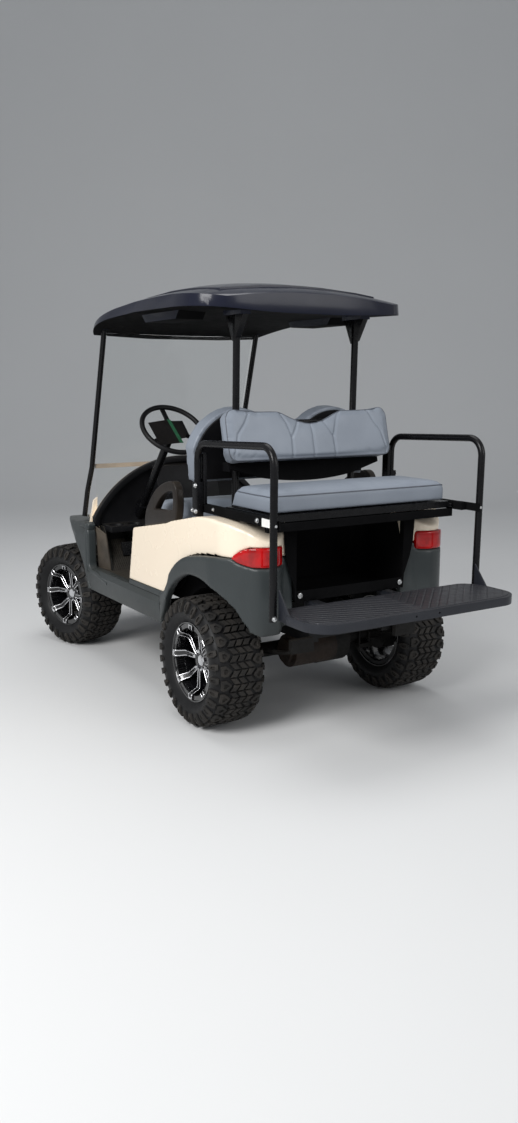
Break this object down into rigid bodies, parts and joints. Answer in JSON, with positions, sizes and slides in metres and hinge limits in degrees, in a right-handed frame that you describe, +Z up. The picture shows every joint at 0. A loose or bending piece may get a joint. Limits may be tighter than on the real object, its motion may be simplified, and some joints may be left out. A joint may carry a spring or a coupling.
{
  "type": "golf cart",
  "caption": "Lifted four-seat electric golf cart with a crowned roof, rear-facing flip seat between guard hoops, ribbed footplate, cream side panels and all-terrain tyres",
  "frame": {"origin": "centre of the cart's overall box in plan, on the ground", "axes": "+X forward, +Y to the cart's left, +Z up"},
  "size_m": [2.8789, 1.378, 1.9789],
  "materials": {
    "frame_aluminium": "rough mill finish",
    "black_steel": "semi-gloss black powder coat",
    "dark_iron": "dusty",
    "brown_iron": "light surface rust",
    "spring_steel": "dull zinc",
    "battery_case": "matt",
    "floor_rubber": "ribbed mat",
    "textured_charcoal": "fine orange-peel texture",
    "cream_panel": "moulded-in colour, soft gloss",
    "red_lens": "clear red lens",
    "black_plastic": "satin",
    "clear_lens": "clear lens",
    "grey_vinyl": "grained vinyl",
    "brown_plastic": "satin",
    "roof_plastic": "gloss",
    "clear_pane": "clear",
    "trim_strip": "satin",
    "grip_rubber": "soft grip",
    "ribbed_plate": "ribbed tread",
    "tyre_rubber": "all-terrain tread",
    "wheel_alloy": "gloss black with machined edges"
  },
  "bodies": {
    "chassis": {"chassis_frame": "frame_aluminium", "front_suspension": "black_steel", "rear_axle": "dark_iron", "drive_motor": "brown_iron", "rear_springs": "spring_steel", "battery_pack": "battery_case", "floor_pan": "floor_rubber", "skirts": "textured_charcoal", "rear_fenders": "textured_charcoal", "rear_body": "cream_panel", "tail_lamps": "red_lens", "bag_well": "black_plastic", "front_cowl": "cream_panel", "front_fenders": "textured_charcoal", "headlamps": "clear_lens", "front_bumper": "textured_charcoal", "dash": "black_plastic", "pedals": "black_steel", "seat_base": "black_plastic", "front_seat_cushion": "grey_vinyl", "front_seat_pads": "grey_vinyl", "front_seat_shells": "black_plastic", "hip_restraints": "brown_plastic", "main_struts": "black_steel", "front_struts": "black_steel", "roof": "roof_plastic", "windshield": "clear_pane", "windshield_strip": "trim_strip", "steering_column": "black_steel", "rear_seat_frame": "black_steel", "rear_arms": "black_steel", "rear_back_pad": "grey_vinyl", "rear_back_shell": "black_plastic", "footplate": "ribbed_plate"},
    "knuckle_left_body": {"knuckle_left": "dark_iron"},
    "knuckle_right_body": {"knuckle_right": "dark_iron"},
    "wheel_front_left": {"tyre_front_left": "tyre_rubber", "rim_front_left": "wheel_alloy"},
    "wheel_front_right": {"tyre_front_right": "tyre_rubber", "rim_front_right": "wheel_alloy"},
    "wheel_rear_left": {"tyre_rear_left": "tyre_rubber", "rim_rear_left": "wheel_alloy"},
    "wheel_rear_right": {"tyre_rear_right": "tyre_rubber", "rim_rear_right": "wheel_alloy"},
    "steering_link_body": {"steering_link": "black_steel"},
    "steering_wheel_body": {"steering_wheel": "grip_rubber"},
    "rear_seat_body": {"rear_seat_panel": "black_steel", "rear_seat_cushion": "grey_vinyl"}
  },
  "joints": [
    {"name": "steer_left", "type": "hinge", "parent": "chassis", "child": "knuckle_left_body", "pos_m": [1.0795, 0.384, 0.295], "axis": [0, 0, 1], "range_deg": [-44, 16]},
    {"name": "steer_right", "type": "hinge", "parent": "chassis", "child": "knuckle_right_body", "pos_m": [1.0795, -0.384, 0.295], "axis": [0, 0, 1], "range_deg": [-44.1, 16.1]},
    {"name": "steering_link_slide", "type": "slide", "parent": "chassis", "child": "steering_link_body", "axis": [0, 1, 0], "range_m": [-0.0294, 0.0808]},
    {"name": "steering_wheel_turn", "type": "hinge", "parent": "chassis", "child": "steering_wheel_body", "pos_m": [0.2575, 0.262, 1.273], "axis": [-0.673, 0, 0.7396], "range_deg": [-441, 161]},
    {"name": "spin_front_left", "type": "hinge", "parent": "knuckle_left_body", "child": "wheel_front_left", "pos_m": [1.04805, 0.51014, 0.292], "axis": [-0.2419, 0.9703, 0], "continuous": true},
    {"name": "spin_front_right", "type": "hinge", "parent": "knuckle_right_body", "child": "wheel_front_right", "pos_m": [1.11095, -0.51014, 0.292], "axis": [-0.2419, 0.9703, 0], "continuous": true},
    {"name": "spin_rear_left", "type": "hinge", "parent": "chassis", "child": "wheel_rear_left", "pos_m": [-0.5845, 0.5165, 0.292], "axis": [0, 1, 0], "continuous": true},
    {"name": "spin_rear_right", "type": "hinge", "parent": "chassis", "child": "wheel_rear_right", "pos_m": [-0.5845, -0.5165, 0.292], "axis": [0, 1, 0], "continuous": true},
    {"name": "rear_seat_flip", "type": "hinge", "parent": "chassis", "child": "rear_seat_body", "pos_m": [-1.0315, 0, 0.968], "axis": [0, -1, 0], "range_deg": [0, 180]}
  ],
  "couplings": [
    {"joint": "steer_right", "follows": "steer_left", "ratio": 1},
    {"joint": "steering_link_slide", "follows": "steer_left", "m_per_rad": -0.105},
    {"joint": "steering_wheel_turn", "follows": "steer_left", "ratio": 10}
  ]
}
